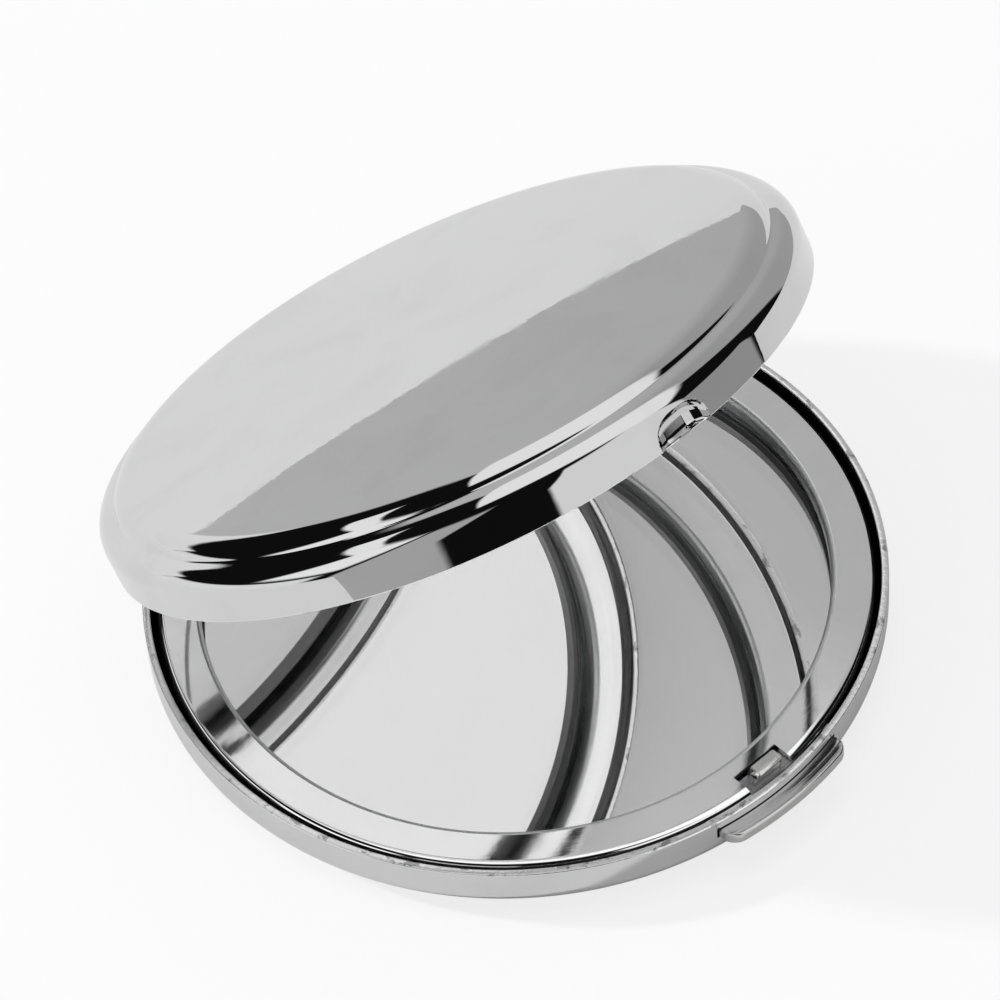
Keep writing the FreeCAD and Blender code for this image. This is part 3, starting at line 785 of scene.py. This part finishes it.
def inner_arc(half_width, side):
    """Points along the inside of a shell's wall, from left to right, at the front (-1) or at the back (1)."""
    radius = INNER_RADIUS - INNER_CLEARANCE
    return [(x, side * math.sqrt(radius ** 2 - x ** 2)) for x in np.linspace(-half_width, half_width, 25)]


def plate_body():
    """The tab's plate inside the case, with an ear each side."""
    return slab(inner_arc(EAR_HALF, -1) + [(EAR_HALF, -PLATE_END), (-EAR_HALF, -PLATE_END)],
                height(BASE, PLATE_BOTTOM), height(BASE, PLATE_TOP))


tab, plate = tab_body(), plate_body()
# The plate is spring steel. Its darker tone is painted shade, so that it reads dark inside the case through the
# window.
push_tab = piece("thumb_tab", *joined([tab, plate]), [tab_nickel, spring_steel],
                 [0] * len(tab[1]) + [1] * len(plate[1]))
place(push_tab, "push_tab", "button")


def hook_body():
    """Post with a nose that points out, over the tab's plate; its flat top is chamfered at both ends."""
    points, faces = [], []
    for x, drop in HOOK_SECTIONS:
        top = HOOK_TOP + drop
        nose = HOOK_NOSE - drop / 2
        side = [(HOOK_INNER, HOOK_FOOT), (HOOK_INNER, top), (HOOK_FLAT_END, top),
                (nose, min(NOSE_TOP_LOWEST, NOSE_TOP + drop)), (nose, NOSE_UNDER),
                (HOOK_POST, NOSE_UNDER), (HOOK_POST, HOOK_FOOT)]
        points += [(x, -r, height(BASE, d)) for r, d in side]
    n = len(side)
    last = len(HOOK_SECTIONS) - 1
    for k in range(last):
        faces += [(k * n + i, k * n + (i + 1) % n, (k + 1) * n + (i + 1) % n, (k + 1) * n + i) for i in range(n)]
    faces += [tuple(range(n)), tuple(range(last * n, (last + 1) * n))]
    return points, faces


catch_hook = piece("catch_post", *hook_body(), [hook_steel])
round_edges(catch_hook, HOOK_EDGE, 3)
place(catch_hook, "catch_hook", "button")


# Hinge and what is held inside

def leaf(name, half, spans):
    """A hinge leaf: a riveted plate with a barrel at each of its spans along the hinge."""
    low, high = sorted((height(half, FRAME_UNDER), height(half, FRAME_UNDER + LEAF_THICKNESS)))
    side = LEAF_WIDTH / 2
    parts = [slab([(side, LEAF_INNER_Y), (-side, LEAF_INNER_Y)] + inner_arc(side, 1), low, high)]
    for x0, x1 in spans:
        parts.append(brick(x0, x1, LEAF_INNER_Y + KNUCKLE_OVERLAP, HINGE_Y, low, high))
        parts.append(bar(x0, x1, BARREL_RADIUS, BARREL_EDGE, HINGE_Y, HINGE_Z))
    obj = piece(name, *joined(parts), [hinge_chrome])
    cut(obj, rivet_cuts(half, FRAME_UNDER - 0.5, FRAME_UNDER + 1), True)
    return obj


inner_end = KNUCKLE / 2 + KNUCKLE_GAP
outer_end = 1.5 * KNUCKLE + KNUCKLE_GAP
place(leaf("base_leaf", BASE, [(-outer_end, -inner_end), (inner_end, outer_end)]),
      "base_hinge_leaf", "base")
place(leaf("lid_leaf", LID, [(-KNUCKLE / 2, KNUCKLE / 2)]), "lid_hinge_leaf", "lid")

steel_nodes = ("base_hinge_rivets", "lid_hinge_rivets", "latch_guide", "lid_catch", "hinge_pin")
for surface, nodes in ((plain_steel, steel_nodes),
                       (spring_steel, ("latch_spring",)),
                       (card, ("base_backing_card", "lid_backing_card"))):
    for node in nodes:
        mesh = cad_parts[node].data
        mesh.materials.clear()
        mesh.materials.append(surface)
        keep_places(mesh)


# Floor, light and camera

def pale_floor():
    """A board of pale paper. The camera sees it nearly white, with a light shadow. Mirrors show it as it is lit."""
    mesh = bpy.data.meshes.new("floor")
    mesh.from_pydata([(FLOOR_LEFT, FLOOR_FRONT, 0), (FLOOR_RIGHT, FLOOR_FRONT, 0),
                      (FLOOR_RIGHT, FLOOR_BACK, 0), (FLOOR_LEFT, FLOOR_BACK, 0)], [], [(0, 1, 2, 3)])
    tree = pale_paper.node_tree
    white = add(tree, "ShaderNodeEmission", {"Color": (1, 1, 1, 1), "Strength": 1.0}).outputs[0]
    share = calc(tree, "MULTIPLY", add(tree, "ShaderNodeLightPath").outputs["Is Camera Ray"], FLOOR_WHITE_SHARE)
    paper = tree.nodes["Principled BSDF"].outputs[0]
    both = add(tree, "ShaderNodeMixShader", {0: share, 1: paper, 2: white})
    tree.links.new(both.outputs[0], tree.nodes["Material Output"].inputs["Surface"])
    mesh.materials.append(pale_paper)
    keep_places(mesh)
    floor = bpy.data.objects.new("floor", mesh)
    bpy.context.scene.collection.objects.link(floor)


def toward(bearing, rise):
    """Direction from the case, by a bearing from the front towards the right and a rise, in degrees."""
    bearing, rise = math.radians(bearing), math.radians(rise)
    return Vector((math.sin(bearing) * math.cos(rise), -math.cos(bearing) * math.cos(rise), math.sin(rise)))


def soft_lamp(name, bearing, rise, distance, size, power):
    """A soft round lamp that lights the floor and is itself hidden from reflections."""
    data = bpy.data.lights.new(name, "AREA")
    data.shape = "DISK"
    data.size = size
    data.energy = power
    lamp = bpy.data.objects.new(name, data)
    bpy.context.scene.collection.objects.link(lamp)
    back = toward(bearing, rise)
    lamp.matrix_world = Matrix.Translation(back * distance) @ back.to_track_quat("Z", "Y").to_matrix().to_4x4()
    lamp.visible_glossy = False


def studio():
    """A dark room with a soft light overhead and pale panels around the case, as they show in its chrome."""
    world = bpy.data.worlds.new("studio")
    bpy.context.scene.world = world
    world.use_nodes = True
    tree = world.node_tree
    direction = add(tree, "ShaderNodeTexCoord").outputs["Generated"]
    x, y, z = add(tree, "ShaderNodeSeparateXYZ", {0: direction}).outputs
    bearing = calc(tree, "DEGREES", calc(tree, "ARCTAN2", x, calc(tree, "MULTIPLY", y, -1.0)))
    rise = calc(tree, "DEGREES", calc(tree, "ARCSINE", z))

    def both(mask, other):
        return calc(tree, "MULTIPLY", mask, other)

    def between(value, low, high, blur):
        return both(fade(tree, value, low - blur, low + blur), fade(tree, value, high + blur, high - blur))

    def laid_over(level, mask, brightness):
        mix = add(tree, "ShaderNodeMix", {"Factor": mask, "A": level, "B": brightness}, data_type="FLOAT")
        return mix.outputs["Result"]

    def away_from(middle):
        return calc(tree, "WRAP", calc(tree, "SUBTRACT", bearing, middle), 180.0, -180.0)

    def tilt(bearing, rise):
        """Degrees above the plane through the case that this direction is square to."""
        inputs = {0: direction, 1: toward(bearing, rise)}
        share = add(tree, "ShaderNodeVectorMath", inputs, operation="DOT_PRODUCT").outputs["Value"]
        return calc(tree, "DEGREES", calc(tree, "ARCSINE", share))

    level = DARK_ROOM
    for left, right, low, high, side_blur, rise_blur, brightness in PANELS:
        half = (right - left) / 2
        sides = between(away_from((left + right) / 2), -half, half, side_blur)
        level = laid_over(level, both(sides, between(rise, low, high, rise_blur)), brightness)
    backdrop = both(fade(tree, away_from(84), -2.5, 2.5), fade(tree, tilt(73, 10.7), -1.0, 1.0))
    backdrop = both(backdrop, between(rise, -40, 66, 2.0))
    level = laid_over(level, backdrop, fade(tree, bearing, 130.0, 165.0, 0.44, 0.60))
    strip = both(between(tilt(-131.2, -45.5), -4.0, 4.0, 0.8), between(away_from(-144), -30, 30, 1.0))
    level = laid_over(level, strip, STRIP_BRIGHTNESS)
    overhead = 1.0
    for edge_bearing, edge_rise, blur in OVERHEAD_EDGES:
        overhead = both(overhead, fade(tree, tilt(edge_bearing, edge_rise), -blur, blur))
    level = laid_over(level, overhead, OVERHEAD_BRIGHTNESS)

    # The camera sees white all round. Metal and glass see it well below the horizon, and above that the room.
    path = add(tree, "ShaderNodeLightPath").outputs
    by_metal_or_glass = calc(tree, "MAXIMUM", path["Is Glossy Ray"], path["Is Transmission Ray"])
    level = laid_over(level, both(by_metal_or_glass, fade(tree, rise, *WHITE_BELOW)), 1.0)
    level = laid_over(level, path["Is Camera Ray"], 1.0)
    tree.links.new(level, tree.nodes["Background"].inputs["Color"])


def photo_camera(bearing, rise, roll, distance, lens, target):
    """The photograph's camera: where it stands from a target in millimetres, and how far it is rolled."""
    back = toward(bearing, rise)
    bearing, roll = math.radians(bearing), math.radians(roll)
    level = Vector((math.cos(bearing), math.sin(bearing), 0))
    upright = back.cross(level)
    right = level * math.cos(roll) + upright * math.sin(roll)
    up = -level * math.sin(roll) + upright * math.cos(roll)
    data = bpy.data.cameras.new("photo_camera")
    data.sensor_width = 36
    data.lens = lens
    data.clip_start = 0.01
    camera = bpy.data.objects.new("photo_camera", data)
    bpy.context.scene.collection.objects.link(camera)
    turn = Matrix((right, up, back)).transposed().to_4x4()
    camera.matrix_world = Matrix.Translation((Vector(target) + back * distance) * MM) @ turn
    bpy.context.scene.camera = camera


pale_floor()
studio()
soft_lamp("key_lamp", -143, 32.5, 2.5, 0.18, 38.0)
soft_lamp("fill_lamp", -140, 75, 2.0, 1.2, 5.2)
photo_camera(-40.16, 49.46, -4.68, 456.5, 183.8, (5.00, 7.08, 5.804))
bpy.context.scene.view_settings.view_transform = "Standard"
